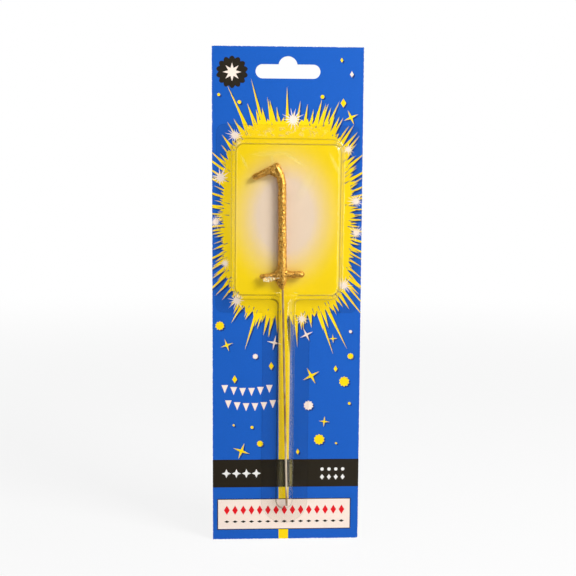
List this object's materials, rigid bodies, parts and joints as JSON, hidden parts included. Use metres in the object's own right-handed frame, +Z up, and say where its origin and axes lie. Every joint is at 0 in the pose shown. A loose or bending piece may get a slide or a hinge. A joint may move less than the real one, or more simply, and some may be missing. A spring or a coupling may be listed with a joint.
{
  "type": "carded numeral sparkler",
  "caption": "Wire sparkler shaped as the numeral one, loose in a clear thermoformed blister with a stem channel, sealed to a printed card with a hang slot.",
  "frame": {"origin": "top of the hang slot, where a display peg bears, on the card's back face", "axes": "+Z up along the card's length, -Y out of the printed face towards the viewer, +X to the viewer's right"},
  "size_m": [0.0762, 0.0086, 0.254],
  "materials": {
    "printed_board": "coated board, printed",
    "clear_film": "clear, glossy",
    "steel_wire": "drawn, bare",
    "gold_coat": "grainy, gold paint"
  },
  "bodies": {
    "card": {"backing_card": "printed_board"},
    "blister": {"blister": "clear_film"},
    "sparkler": {"core_wire": "steel_wire", "cross_wire": "steel_wire", "sparkler_coat": "gold_coat"}
  },
  "joints": [
    {"name": "blister_peel", "type": "hinge", "parent": "card", "child": "blister", "pos_m": [0, -0.00095, -0.0339], "axis": [-1, 0, 0], "range_deg": [0, 110]},
    {"name": "sparkler_play", "type": "slide", "parent": "card", "child": "sparkler", "axis": [0, 0, 1], "range_m": [0, 0.01]}
  ]
}
